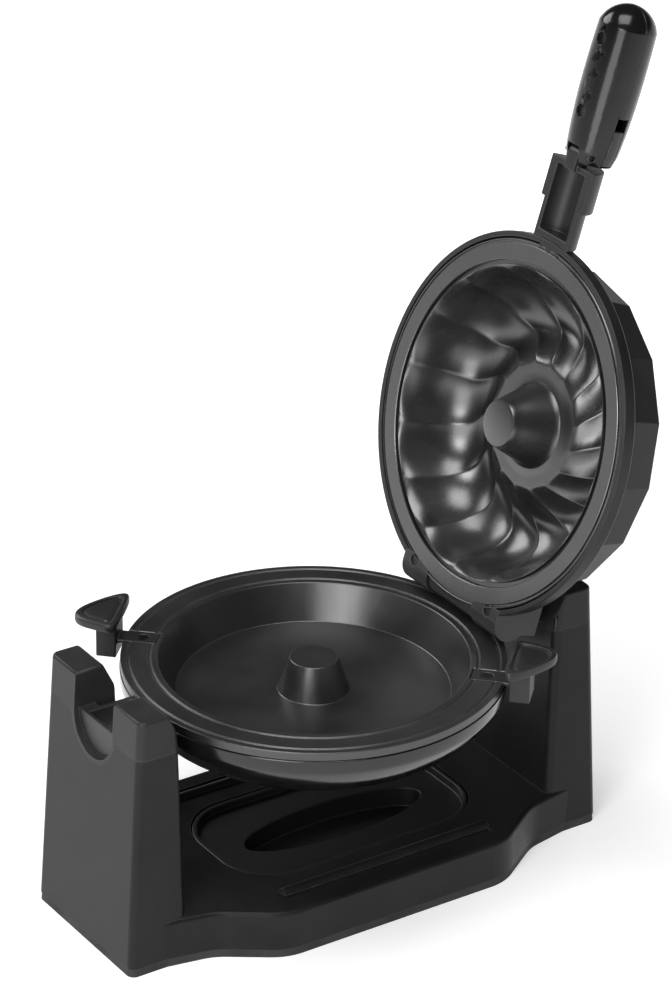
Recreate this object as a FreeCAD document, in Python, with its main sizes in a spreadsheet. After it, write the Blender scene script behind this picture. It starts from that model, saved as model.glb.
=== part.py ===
# Flip-over ring-cake maker: a stand with two towers, a round pan that hangs between them on
# journals, and a fluted lid that stands open on its hinge. Millimetres, +X from the handle end
# to the hinge end, +Y away from the front, +Z up, origin at the centre of the underside.
import FreeCAD, Part
import math
import os
import Sketcher
from FreeCAD import Placement, Rotation, Vector

doc = FreeCAD.newDocument("ring_cake_maker")

# Driving dimensions
DRIVING = [
    ("stand_length", 172.0, "half length of the stand at the floor"),
    ("stand_width", 55.0, "half width of a tower at the floor"),
    ("tower_height", 169.0, "height of the towers"),
    ("tower_top_length", 162.4, "half length over the tower tops"),
    ("tower_top_width", 52.0, "half width of a tower at its top"),
    ("tower_inner_foot", 131.0, "inner face of a tower at the floor"),
    ("tower_inner_top", 136.0, "inner face of a tower at its top"),
    ("cap_seam", 144.0, "height of the seam under the caps"),
    ("cap_chamfer_drop", 16.0, "height of the chamfer inside a cap"),
    ("cap_chamfer_width", 8.0, "width of the chamfer inside a cap"),
    ("deck_height", 31.0, "top of the deck"),
    ("skirt_width", 85.0, "half width over the swelled skirt"),
    ("skirt_flat", 80.0, "half length of the skirt's flat front"),
    ("skirt_waist_x", 117.0, "where the skirt meets the tower line"),
    ("skirt_waist_y", 60.5, "half width there"),
    ("skirt_round", 34.0, "radius of the skirt's bends"),
    ("wall", 3.0, "moulded wall"),
    ("plate_height", 5.0, "height of the bottom plate"),
    ("joint_gap", 0.3, "gap between fitted covers"),
    ("slot_radius", 22.0, "half width of the journal slots"),
    ("axis_height", 145.5, "height of the turning axis"),
    ("journal_radius", 20.4, "front journal"),
    ("neck_radius", 17.0, "thinner part of the front journal"),
    ("axle_radius", 14.0, "rear journal"),
    ("fit_gap", 0.05, "running clearance on a radius"),
    ("pan_x", -8.0, "centre of pan and lid along X"),
    ("pan_radius", 118.0, "outside of the pan's rim"),
    ("pan_top", 145.7, "face of the baking plate"),
    ("flange_depth", 5.5, "depth of the plate's flange"),
    ("bowl_bottom", 101.0, "underside of the bowl"),
    ("dish_radius", 95.0, "baking dish at its mouth"),
    ("dish_depth", 22.0, "depth of the baking dish"),
    ("skin", 2.4, "sheet of bowl and plates"),
    ("lid_rim", 146.2, "face of the closed lid"),
    ("lid_radius", 117.5, "outside of the lid's lip"),
    ("lip_height", 8.0, "height of the lid's lip"),
    ("facet_start", 17.0, "height where the facets start"),
    ("facet_radius", 104.0, "corner radius of the facets at their start"),
    ("facet_end", 42.0, "height where the facets end"),
    ("facet_end_radius", 101.0, "corner radius of the facets at their end"),
    ("lid_height", 52.0, "total height of the lid"),
    ("lid_flat_radius", 81.0, "corner radius of the flat back"),
    ("mold_radius", 113.5, "outside of the mold's flange"),
    ("mold_flange", 3.4, "thickness of the mold's flange"),
    ("flute_count", 16.0, "flutes in the mold and facets on the lid"),
    ("cavity_radius", 96.6, "mold cavity at the rim"),
    ("cavity_depth", 43.0, "depth of the mold cavity"),
    ("hump_depth", 28.0, "depth of the flat around the post"),
    ("post_top", 16.0, "radius of the post at the rim"),
    ("post_base", 30.0, "radius of the post at its foot"),
    ("hinge_x", 103.0, "hinge axis along X"),
    ("hinge_z", 159.0, "height of the hinge axis"),
    ("knuckle_radius", 11.0, "knuckle on the pan"),
    ("knuckle_half", 23.0, "half width of the knuckle"),
    ("cheek_outer", 50.0, "outer end of the lid's hinge cheeks"),
    ("hinge_pin_radius", 3.0, "hinge pin"),
    ("lid_open_angle", 107.1, "how far the lid stands open"),
    ("ear_reach", 148.5, "tip of an ear from the pan's centre"),
    ("ear_angle", 135.0, "direction of the first ear"),
    ("ear_top", 162.0, "top of an ear"),
    ("grip_axis", 158.0, "height of the grip's axis with the lid closed"),
    ("grip_start", 169.5, "grip's foot from the lid's centre"),
    ("grip_end", 268.0, "grip's tip from the lid's centre"),
    ("grip_foot_radius", 16.0, "grip at its foot"),
    ("grip_radius", 18.4, "grip at its thickest"),
    ("fold_reach", 174.0, "fold pivot from the lid's centre"),
    ("fold_height", 148.5, "height of the fold pivot, lid closed"),
    ("tray_x", 6.0, "centre of the drip tray along X"),
    ("tray_length", 88.0, "half length of the drip tray"),
    ("tray_width", 47.0, "half width of the drip tray"),
    ("tray_round", 36.0, "corner radius of the drip tray"),
    ("tray_floor", 18.0, "height of the tray's recess"),
    ("screw_radius", 1.75, "thread radius of the screws"),
    ("screw_head", 3.6, "head radius of the screws"),
]


# A number that remembers the sheet expression it comes from
class Size(float):
    def __new__(cls, value, text):
        size = float.__new__(cls, value)
        size.text = text
        return size

    def __add__(self, other):
        return Size(float(self) + float(other), "(%s + %s)" % (self.text, text_of(other)))

    def __sub__(self, other):
        return Size(float(self) - float(other), "(%s - %s)" % (self.text, text_of(other)))

    def __mul__(self, other):
        return Size(float(self) * float(other), "(%s * %s)" % (self.text, text_of(other)))

    def __rsub__(self, other):
        return Size(float(other) - float(self), "(%s - %s)" % (text_of(other), self.text))

    def __neg__(self):
        return Size(-float(self), "(0 - %s)" % self.text)

    __radd__ = __add__
    __rmul__ = __mul__


def text_of(value):
    return value.text if isinstance(value, Size) else "(%.6f)" % value


class Sizes:
    pass


sheet = doc.addObject("Spreadsheet::Sheet", "dims")
dim = Sizes()
for row, (alias, value, meaning) in enumerate(DRIVING, start=1):
    sheet.set("A%d" % row, alias)
    sheet.set("B%d" % row, str(value))
    sheet.set("C%d" % row, meaning)
    sheet.setAlias("B%d" % row, alias)
    setattr(dim, alias, Size(value, "dims." + alias))
doc.recompute()


# Primitives and booleans, with every size bound to the sheet
def bind(thing, prop, value):
    thing.setExpression(prop, text_of(value))


def move(thing, x, y, z, turn=None):
    thing.Placement = Placement(Vector(float(x), float(y), float(z)), turn or Rotation())
    for prop, value in (("x", x), ("y", y), ("z", z)):
        bind(thing, "Placement.Base." + prop, value)


def box(name, low, high):
    block = doc.addObject("Part::Box", name)
    for prop, start, end in zip(("Length", "Width", "Height"), low, high):
        bind(block, prop, end - start)
    move(block, *low)
    return block


ALONG = {"x": Rotation(Vector(0, 1, 0), 90), "y": Rotation(Vector(1, 0, 0), -90), "z": Rotation()}


def rod(name, radius, start, length, along="z"):
    cylinder = doc.addObject("Part::Cylinder", name)
    bind(cylinder, "Radius", radius)
    bind(cylinder, "Height", length)
    move(cylinder, start[0], start[1], start[2], ALONG[along])
    return cylinder


def cone(name, radius_low, radius_high, start, height):
    frustum = doc.addObject("Part::Cone", name)
    bind(frustum, "Radius1", radius_low)
    bind(frustum, "Radius2", radius_high)
    bind(frustum, "Height", height)
    move(frustum, *start)
    return frustum


def fuse(name, *things):
    if len(things) == 1:
        return things[0]
    union = doc.addObject("Part::MultiFuse", name)
    union.Shapes = list(things)
    return union


def cut(name, base, *tools):
    result = doc.addObject("Part::Cut", name)
    result.Base = base
    result.Tool = fuse(name + "_tools", *tools)
    return result


def common(name, first, second):
    result = doc.addObject("Part::Common", name)
    result.Base = first
    result.Tool = second
    return result


# Sketches: an outline point is (x, y), or (x, y, radius) where an arc of that radius ends there
def pin_down(sketch, edge, where, point):
    for kind, value, axis in (("DistanceX", point[0], -2), ("DistanceY", point[1], -1)):
        if abs(value) < 1e-9:
            sketch.addConstraint(Sketcher.Constraint("PointOnObject", edge, where, axis))
            continue
        ends = (-1, 1, edge, where) if value > 0 else (edge, where, -1, 1)
        index = sketch.addConstraint(Sketcher.Constraint(kind, *ends, abs(float(value))))
        bind(sketch, "Constraints[%d]" % index, value if value > 0 else 0 - value)


def outline_edge(start, end, radius):
    a = Vector(float(start[0]), float(start[1]), 0)
    b = Vector(float(end[0]), float(end[1]), 0)
    if not radius:
        return Part.LineSegment(a, b)
    chord = b - a
    across = Vector(-chord.y, chord.x, 0).normalize()
    rise = math.sqrt(float(radius) ** 2 - (chord.Length / 2) ** 2)
    side = 1 if radius > 0 else -1
    middle = (a + b) * 0.5 - across * side * (abs(float(radius)) - rise)
    return Part.Arc(a, middle, b)


def draw(sketch, points):
    count = len(points)
    first_ends = []
    for index, start in enumerate(points):
        end = points[(index + 1) % count]
        sketch.addGeometry(outline_edge(start, end, end[2] if len(end) > 2 else 0), False)
        gap = sketch.getPoint(index, 1) - Vector(float(start[0]), float(start[1]), 0)
        first_ends.append(1 if gap.Length < 1e-6 else 2)
    for index, point in enumerate(points):
        following = (index + 1) % count
        last_end = 3 - first_ends[index]
        sketch.addConstraint(
            Sketcher.Constraint("Coincident", index, last_end, following, first_ends[following]))
        if len(points[following]) > 2:
            radius = points[following][2]
            size = radius if radius > 0 else 0 - radius
            which = sketch.addConstraint(Sketcher.Constraint("Radius", index, float(size)))
            bind(sketch, "Constraints[%d]" % which, size)
        pin_down(sketch, index, first_ends[index], point)


def sketch_on(body, role, points, name):
    sketch = body.newObject("Sketcher::SketchObject", name)
    plane = [feature for feature in body.Origin.OriginFeatures if feature.Role == role][0]
    sketch.AttachmentSupport = (plane, [""])
    sketch.MapMode = "FlatFace"
    draw(sketch, points)
    return sketch


def turned(name, points, x=0.0):
    body = doc.addObject("PartDesign::Body", name)
    sketch = sketch_on(body, "XZ_Plane", points, name + "_profile")
    revolution = body.newObject("PartDesign::Revolution", name + "_turn")
    revolution.Profile = sketch
    revolution.ReferenceAxis = (sketch, ["V_Axis"])
    revolution.Angle = 360
    move(body, x, 0.0, 0.0)
    return body


def padded(name, points, low, high):
    body = doc.addObject("PartDesign::Body", name)
    sketch = sketch_on(body, "XY_Plane", points, name + "_outline")
    pad = body.newObject("PartDesign::Pad", name + "_pad")
    pad.Profile = sketch
    bind(pad, "Length", high - low)
    move(body, 0.0, 0.0, low)
    return body


def round_edges(body, radius, chosen):
    doc.recompute()
    tip = body.Tip
    names = ["Edge%d" % (index + 1) for index, edge in enumerate(tip.Shape.Edges) if chosen(edge)]
    fillet = body.newObject("PartDesign::Fillet", body.Name + "_round")
    fillet.Base = (tip, names)
    bind(fillet, "Radius", radius)
    body.Tip = fillet
    return body


def is_upright(edge):
    first, last = edge.Vertexes[0].Point, edge.Vertexes[-1].Point
    return abs(first.x - last.x) + abs(first.y - last.y) < 1e-6


pieces = []


def group(name, things):
    """Identical pieces that share one node, or one piece that is carried to its place whole."""
    bundle = doc.addObject("Part::Compound", name)
    bundle.Links = things
    return bundle


def piece(label, thing, place=None):
    if place is not None:
        thing = group(label + "_placed", [thing])
        thing.Placement = place
    thing.Label = label
    pieces.append(thing)
    return thing


# Stand: one moulding of deck, skirt and two hollow towers
def mirrored(points):
    """Points of one quarter, from +X round to +Y, repeated about both axes."""
    half = points + [(0 - x, y) for x, y in reversed(points)]
    return half + [(0 - x, 0 - y) for x, y in half]


def skirt_outline(inset):
    return mirrored([
        (dim.stand_length - 20.0 - inset, dim.stand_width - 1.0 - inset),
        (dim.skirt_waist_x - inset * 0.4, dim.skirt_waist_y - inset),
        (dim.skirt_flat - inset * 0.4, dim.skirt_width - inset),
    ])


def is_skirt_bend(edge):
    return is_upright(edge) and abs(edge.Vertexes[0].Point.x) < float(dim.skirt_waist_x) + 2


def skirt(name, inset, low, high):
    return round_edges(padded(name, skirt_outline(inset), low, high), dim.skirt_round, is_skirt_bend)


def share(low_value, high_value, height):
    """A size that runs evenly from the floor to the tower's top."""
    return low_value + (high_value - low_value) * (float(height) / float(dim.tower_height))


def tower(name, side, low, high, inset=0.0):
    """Tapered block of a tower between two heights, on side -1 (front) or 1 (rear)."""
    wedge = doc.addObject("Part::Wedge", name)
    for prop, height in (("", low), ("2", high)):
        inner = share(dim.tower_inner_foot, dim.tower_inner_top, height) + inset
        outer = share(dim.stand_length, dim.tower_top_length, height) - inset
        half = share(dim.stand_width, dim.tower_top_width, height) - inset
        ends = (inner, outer) if side > 0 else (0 - outer, 0 - inner)
        bind(wedge, "X%smin" % prop, ends[0])
        bind(wedge, "X%smax" % prop, ends[1])
        bind(wedge, "Z%smin" % prop, 0 - half)
        bind(wedge, "Z%smax" % prop, half)
    bind(wedge, "Ymin", low)
    bind(wedge, "Ymax", high)
    wedge.Placement = Placement(Vector(), Rotation(Vector(1, 0, 0), 90))
    return wedge


def softened(name, solid, radius, chosen):
    """Rounded edges on a plain solid."""
    doc.recompute()
    fillet = doc.addObject("Part::Fillet", name)
    fillet.Base = solid
    edges = [i + 1 for i, edge in enumerate(solid.Shape.Edges) if chosen(edge)]
    fillet.Edges = [(index, radius, radius) for index in edges]
    return fillet


def rises(edge):
    first, last = edge.Vertexes[0].Point, edge.Vertexes[-1].Point
    return abs(first.z - last.z) > 10


def slot(name, x_low, x_high, radius, top):
    """U-shaped slot along X, open at the top."""
    round_end = rod(name + "_round", radius, (x_low, 0.0, dim.axis_height), x_high - x_low, "x")
    channel = box(name + "_channel", (x_low, 0 - radius, dim.axis_height), (x_high, radius, top))
    return fuse(name, round_end, channel)


TOWER_ROUND = 5.0
ABOVE = dim.tower_height + 10.0
SLOT_KEEP = 6.0
REAR_POCKET_END = 153.5
housing_floor = dim.plate_height + 0.2

tray_recess = round_edges(
    padded("tray_recess", [
        (dim.tray_x - dim.tray_length - 0.5, 0 - dim.tray_width - 0.5),
        (dim.tray_x + dim.tray_length + 0.5, 0 - dim.tray_width - 0.5),
        (dim.tray_x + dim.tray_length + 0.5, dim.tray_width + 0.5),
        (dim.tray_x - dim.tray_length - 0.5, dim.tray_width + 0.5),
    ], dim.tray_floor, ABOVE), dim.tray_round, is_upright)
recess_block = round_edges(
    padded("recess_block", [
        (dim.tray_x - dim.tray_length - 3.0, 0 - dim.tray_width - 3.0),
        (dim.tray_x + dim.tray_length + 3.0, 0 - dim.tray_width - 3.0),
        (dim.tray_x + dim.tray_length + 3.0, dim.tray_width + 3.0),
        (dim.tray_x - dim.tray_length - 3.0, dim.tray_width + 3.0),
    ], dim.tray_floor - dim.skin, dim.deck_height - 1.0), dim.tray_round, is_upright)

OVAL_LENGTH, OVAL_WIDTH, OVAL_SHIFT = 64.0, 20.0, 2.0
SUMP_FLOOR, SUMP_SKIN = 9.0, 2.2


def oval_block(name, grow, low, high):
    """Upright oval block about the tray's well, grown sideways by an amount."""
    outline = doc.addObject("Part::Ellipse", name + "_outline")
    outline.MajorRadius = OVAL_LENGTH + grow
    outline.MinorRadius = OVAL_WIDTH + grow
    move(outline, dim.tray_x + OVAL_SHIFT, 0.0, low)
    block = doc.addObject("Part::Extrusion", name)
    block.Base = outline
    block.Dir = Vector(0, 0, 1)
    block.LengthFwd = float(high) - float(low)
    block.Solid = True
    return block


sump_room = oval_block("sump_room", 3.3, SUMP_FLOOR, dim.deck_height)
sump_block = oval_block("sump_block", 5.5, SUMP_FLOOR - SUMP_SKIN, dim.tray_floor)

deck = round_edges(
    skirt("deck", 0.0, housing_floor, dim.deck_height), dim.wall,
    lambda edge: min(v.Point.z for v in edge.Vertexes) > float(dim.deck_height) - float(housing_floor) - 0.1)
deck_hollow = skirt("deck_hollow", dim.wall, housing_floor - 1.0, dim.deck_height - dim.wall)
shell_parts = [deck, recess_block]
tower_hollows = []
for side, end in ((-1, "front"), (1, "rear")):
    outer = softened(end + "_tower", tower(end + "_tower_block", side, housing_floor, dim.cap_seam),
                     TOWER_ROUND, rises)
    shell_parts.append(outer)
    keep_low = dim.axis_height - dim.slot_radius - SLOT_KEEP
    inner_block = tower(end + "_tower_inside", side, housing_floor - 1.0, dim.cap_seam - dim.wall, dim.wall)
    far = dim.stand_length + 5.0
    near_x, far_x = (0 - far, -100.0) if side < 0 else (100.0, far)
    keep = box(end + "_slot_keep", (near_x, 0 - dim.slot_radius - SLOT_KEEP, keep_low),
               (far_x, dim.slot_radius + SLOT_KEEP, ABOVE))
    tower_hollows.append(cut(end + "_tower_hollow", inner_block, keep))

# Bosses under the deck that take the bottom plate's screws
SCREW_SPOTS = [(x, y) for x in (-165.0, 0.0, 165.0) for y in (-38.0, 38.0)]
DECK_SCREW_SPOTS = [(x, y * 1.75 if x == 0.0 else y) for x, y in SCREW_SPOTS]
BOSS_RADIUS = 4.5
BOSS_TOP = 29.0
bosses = [rod("boss_%d" % i, BOSS_RADIUS, (x, y, housing_floor), BOSS_TOP - housing_floor)
          for i, (x, y) in enumerate(DECK_SCREW_SPOTS)]
boss_holes = [rod("boss_hole_%d" % i, dim.screw_radius, (x, y, 0.0), 16.0)
              for i, (x, y) in enumerate(DECK_SCREW_SPOTS)]

front_slot = slot("front_slot", -200.0, -100.0, dim.slot_radius, ABOVE)
rear_slot = slot("rear_slot", 100.0, REAR_POCKET_END, dim.slot_radius, ABOVE)
LINER = 2.0
liner_room = [slot("front_liner_room", -200.0, -100.0, dim.slot_radius + LINER + 0.2, ABOVE),
              slot("rear_liner_room", 100.0, REAR_POCKET_END, dim.slot_radius + LINER + 0.2, ABOVE)]
liner_shapes = [slot("front_liner_shape", -200.0, -100.0, dim.slot_radius + LINER, dim.tower_height),
                slot("rear_liner_shape", 100.0, REAR_POCKET_END, dim.slot_radius + LINER, dim.tower_height)]

RAIL_Y, RAIL_RADIUS, RAIL_LENGTH, RAIL_LIFT = 63.5, 3.0, 75.0, 0.4
vents = [box("vent_%d" % i, (-70.0, y, dim.deck_height - 2.0), (78.0, y + 4.5, ABOVE))
         for i, y in enumerate((-72.0, 67.5))]
rails = [rod("rail_%d" % i, RAIL_RADIUS, (-71.0, y, dim.deck_height + RAIL_LIFT), RAIL_LENGTH * 2, "x")
         for i, y in enumerate((0 - RAIL_Y, RAIL_Y))]

GROMMET_RADIUS, GROMMET_Y, GROMMET_Z = 6.5, 30.0, 22.0
grommet_hole = rod("grommet_hole", GROMMET_RADIUS, (160.0, GROMMET_Y, GROMMET_Z), 20.0, "x")
CAP_SCREW_SPOTS = [(x, y) for x in (-149.0, 149.0) for y in (-38.0, 38.0)]
cap_holes = [rod("cap_hole_%d" % i, dim.screw_radius, (x, y, 130.0), 29.0)
             for i, (x, y) in enumerate(CAP_SCREW_SPOTS)]

solid_stand = fuse("solid_stand", *shell_parts)
deck_cavity = cut("deck_cavity", deck_hollow, recess_block, sump_block)
hollow_stand = cut("hollow_stand", solid_stand, deck_cavity, *tower_hollows)
piece("base_housing", cut("base_shell", fuse("stand_with_bosses", hollow_stand, *bosses, *rails),
                          tray_recess, sump_room, *liner_room, grommet_hole, *vents, *boss_holes, *cap_holes))

# Caps: lighter covers that close the tower tops, flush with the towers
for side, end in ((-1, "front"), (1, "rear")):
    block = tower(end + "_cap_block", side, dim.cap_seam + dim.joint_gap, dim.tower_height)
    inner_x = dim.tower_inner_top - 1.0
    bevel_points = [
        (inner_x - 4.0, dim.tower_height - dim.cap_chamfer_drop * 1.5),
        (inner_x + dim.cap_chamfer_width + 4.0, dim.tower_height + dim.cap_chamfer_drop * 0.5),
        (inner_x - 4.0, dim.tower_height + dim.cap_chamfer_drop * 0.5),
    ]
    if side < 0:
        bevel_points = [(0 - x, z) for x, z in bevel_points]
    bevel_body = doc.addObject("PartDesign::Body", end + "_bevel")
    bevel_sketch = sketch_on(bevel_body, "XZ_Plane", bevel_points, end + "_bevel_profile")
    bevel = bevel_body.newObject("PartDesign::Pad", end + "_bevel_pad")
    bevel.Profile = bevel_sketch
    bind(bevel, "Length", dim.stand_width * 4)
    move(bevel_body, 0.0, dim.stand_width * 2, 0.0)
    rounded = softened(end + "_cap_round", block, TOWER_ROUND, rises)
    way = front_slot if side < 0 else rear_slot
    liner = common(end + "_liner", liner_shapes[0] if side < 0 else liner_shapes[1],
                   tower(end + "_liner_block", side, dim.axis_height - 40.0, dim.tower_height))
    holes = cap_holes[:2] if side < 0 else cap_holes[2:]
    cap = fuse(end + "_cap_solid", rounded, liner)
    piece(end + "_cap", cut(end + "_cap_cut", cap, bevel_body, way, *holes))


def screw(name, spot, head_z, head_height, tip_z):
    """A pan-head screw along Z with its head at one end."""
    x, y = spot
    head = rod(name + "_head", dim.screw_head, (x, y, head_z), head_height)
    low, high = (head_z, tip_z) if tip_z > head_z else (tip_z, head_z)
    return fuse(name, head, rod(name + "_thread", dim.screw_radius, (x, y, low), high - low))


CAP_HEAD = 2.4
piece("cap_screws", group("cap_screw_group", [
    screw("cap_screw_%d" % i, spot, dim.cap_seam - dim.wall - CAP_HEAD - 0.1, CAP_HEAD, 158.0)
    for i, spot in enumerate(CAP_SCREW_SPOTS)]))

# Bottom plate with rubber pads let in flush and countersunk screws
PAD_RADIUS, PAD_DEPTH = 9.0, 2.0
PAD_SPOTS = [(x, y) for x in (-152.0, 152.0) for y in (-20.0, 20.0)]
HEAD_DEPTH = 2.4
plate_outline = skirt("plate_outline", 0.4, 0.0, dim.plate_height)
PLATE_INSET = 0.4


def is_steep(edge):
    """Whether an edge runs up the side of the bottom plate."""
    return abs(edge.Vertexes[0].Point.z - edge.Vertexes[-1].Point.z) > 2


plate_towers = [softened(end + "_plate_round",
                         tower(end + "_plate_tower", side, 0.0, dim.plate_height, PLATE_INSET),
                         TOWER_ROUND, is_steep) for side, end in ((-1, "front"), (1, "rear"))]
plate_pocket = skirt("plate_pocket", 4.0, dim.wall, dim.plate_height + 1.0)
pad_holes = [rod("pad_hole_%d" % i, PAD_RADIUS, (x, y, -1.0), PAD_DEPTH + 1.0)
             for i, (x, y) in enumerate(PAD_SPOTS)]
head_holes = [rod("head_hole_%d" % i, dim.screw_head, (x, y, -1.0), HEAD_DEPTH + 1.4)
              for i, (x, y) in enumerate(DECK_SCREW_SPOTS)]
piece("bottom_plate", cut("bottom_plate_cut", fuse("bottom_plate_solid", plate_outline, *plate_towers),
                          cut("plate_pocket_kept", plate_pocket, *[
                              rod("plate_boss_%d" % i, dim.screw_head + 2.0, (x, y, 0.0), 20.0)
                              for i, (x, y) in enumerate(DECK_SCREW_SPOTS)]),
                          *pad_holes, *head_holes, *boss_holes))
piece("rubber_feet", group("pad_group", [rod("pad_%d" % i, PAD_RADIUS, (x, y, 0.0), PAD_DEPTH)
                                         for i, (x, y) in enumerate(PAD_SPOTS)]))
piece("base_screws", group("base_screw_group", [
    screw("base_screw_%d" % i, spot, 0.4, HEAD_DEPTH - 0.4, 15.0)
    for i, spot in enumerate(DECK_SCREW_SPOTS)]))

# Half-round liners that carry the journals
SADDLE_FRONT = (-161.0, -149.0)
SADDLE_REAR = (139.0, REAR_POCKET_END)


def saddle(name, x_low, x_high, inner):
    ring = cut(name + "_ring", rod(name + "_outside", dim.slot_radius, (x_low, 0.0, dim.axis_height),
                                   x_high - x_low, "x"),
               rod(name + "_bore", inner, (x_low - 1.0, 0.0, dim.axis_height), x_high - x_low + 2.0, "x"))
    lower = box(name + "_lower", (x_low, 0 - dim.slot_radius, dim.axis_height - dim.slot_radius),
                (x_high, dim.slot_radius, dim.axis_height))
    return common(name + "_half", ring, lower)


piece("front_saddle", saddle("front_liner", *SADDLE_FRONT, dim.journal_radius + dim.fit_gap))
piece("rear_saddle", saddle("rear_liner", *SADDLE_REAR, dim.axle_radius + dim.fit_gap))
piece("cord_grommet", cut("grommet", fuse("grommet_solid",
                                          rod("grommet_body", GROMMET_RADIUS, (167.0, GROMMET_Y, GROMMET_Z),
                                              5.0, "x"),
                                          rod("grommet_flange", GROMMET_RADIUS + 2.0,
                                              (172.0, GROMMET_Y, GROMMET_Z), 2.0, "x")),
                          rod("grommet_bore", 3.6, (160.0, GROMMET_Y, GROMMET_Z), 20.0, "x")))

# Drip tray: lifts out of the deck's recess, with an oval well in its floor
TRAY_RIM = 30.4
TRAY_SHELF = 25.5
TRAY_WELL = 12.0
TRAY_LIP = 3.0
tray_body = round_edges(
    padded("tray_body", [
        (dim.tray_x - dim.tray_length, 0 - dim.tray_width),
        (dim.tray_x + dim.tray_length, 0 - dim.tray_width),
        (dim.tray_x + dim.tray_length, dim.tray_width),
        (dim.tray_x - dim.tray_length, dim.tray_width),
    ], dim.tray_floor + 0.4, TRAY_RIM), dim.tray_round, is_upright)
tray_inside = round_edges(
    padded("tray_inside", [
        (dim.tray_x - dim.tray_length + TRAY_LIP, TRAY_LIP - dim.tray_width),
        (dim.tray_x + dim.tray_length - TRAY_LIP, TRAY_LIP - dim.tray_width),
        (dim.tray_x + dim.tray_length - TRAY_LIP, dim.tray_width - TRAY_LIP),
        (dim.tray_x - dim.tray_length + TRAY_LIP, dim.tray_width - TRAY_LIP),
    ], TRAY_SHELF, dim.deck_height + 5.0), dim.tray_round - TRAY_LIP, is_upright)
tray_sump = oval_block("tray_sump", 2.6, SUMP_FLOOR + 0.4, dim.tray_floor + 1.0)
oval_well = oval_block("oval_well", 0.0, TRAY_WELL, dim.deck_height)
piece("drip_tray", cut("drip_tray_cut", fuse("tray_solid", tray_body, tray_sump), tray_inside, oval_well))

# Pan: gloss bowl with the baking plate on it, modelled about its own axis
PAN = Placement(Vector(float(dim.pan_x), 0, 0), Rotation())
flange_low = dim.pan_top - dim.flange_depth
bowl_rim = flange_low - 0.1
BOWL_FLAT, BOWL_BEND, BAND = 72.0, 52.0, 7.0
piece("lower_housing", turned("bowl", [
    (0.0, dim.bowl_bottom),
    (BOWL_FLAT, dim.bowl_bottom),
    (dim.pan_radius, bowl_rim - BAND, BOWL_BEND),
    (dim.pan_radius, bowl_rim),
    (dim.pan_radius - dim.skin, bowl_rim),
    (dim.pan_radius - dim.skin, bowl_rim - BAND + 0.5),
    (BOWL_FLAT - 0.8, dim.bowl_bottom + dim.skin, -(BOWL_BEND - 2.0)),
    (0.0, dim.bowl_bottom + dim.skin),
]), PAN)

dish_floor = dim.pan_top - dim.dish_depth
GROOVES = ((99.0, 100.6), (112.0, 113.4))
GROOVE_DEPTH = 0.8
BOSS_TOP_RADIUS, BOSS_FOOT_RADIUS = 15.0, 22.0
DISH_FLOOR_RADIUS = 84.0
groove_points = []
for inner, outer in GROOVES:
    groove_points += [(inner, dim.pan_top), (inner, dim.pan_top - GROOVE_DEPTH),
                      (outer, dim.pan_top - GROOVE_DEPTH), (outer, dim.pan_top)]
plate_profile = [
    (dim.pan_radius - 0.5, dim.pan_top),
    (dim.pan_radius - 0.5, flange_low),
    (dim.dish_radius + dim.skin, flange_low),
    (DISH_FLOOR_RADIUS + dim.skin, dish_floor - dim.skin),
    (BOSS_FOOT_RADIUS - dim.skin, dish_floor - dim.skin),
    (BOSS_TOP_RADIUS - dim.skin, dim.pan_top - 0.5 - dim.skin),
    (0.0, dim.pan_top - 0.5 - dim.skin),
    (0.0, dim.pan_top - 0.5),
    (BOSS_TOP_RADIUS, dim.pan_top - 0.5),
    (BOSS_FOOT_RADIUS, dish_floor),
    (DISH_FLOOR_RADIUS, dish_floor),
    (dim.dish_radius, dim.pan_top),
] + groove_points


def spoke_box(name, low, high, angle):
    """A box laid along a radius of the pan."""
    block = box(name, low, high)
    for prop in ("x", "y", "z"):
        block.setExpression("Placement.Base." + prop, None)
    turn = Rotation(Vector(0, 0, 1), angle)
    block.Placement = Placement(turn.multVec(Vector(*[float(value) for value in low])), turn)
    return block


EARS = (("front", float(dim.ear_angle)), ("rear", float(dim.ear_angle) - 180))
BAR_INNER, BAR_HALF = 97.0, 6.5
bar_low = dim.pan_top - 2.7
bar_top = dim.pan_top - 0.3
EAR_SCREW_REACH = 106.5
channels = [spoke_box(end + "_channel", (BAR_INNER - 0.2, -BAR_HALF - 0.2, bar_low - 0.1),
                      (dim.pan_radius + 2.0, BAR_HALF + 0.2, dim.pan_top + 2.0), angle)
            for end, angle in EARS]


def on_spoke(reach, angle):
    return reach * math.cos(math.radians(angle)), reach * math.sin(math.radians(angle))


ear_screw_spots = [on_spoke(EAR_SCREW_REACH, angle) for _, angle in EARS]
plate_holes = [rod("plate_hole_%d" % i, dim.screw_radius, (x, y, flange_low - 1.0), 12.0)
               for i, (x, y) in enumerate(ear_screw_spots)]
piece("baking_plate", cut("plate_cut", turned("plate_turned", plate_profile), *channels, *plate_holes), PAN)
piece("ear_screws", group("ear_screw_group", [
    screw("ear_screw_%d" % i, spot, bar_top - 1.6, 1.4, flange_low + 0.2)
    for i, spot in enumerate(ear_screw_spots)]), PAN)

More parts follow.
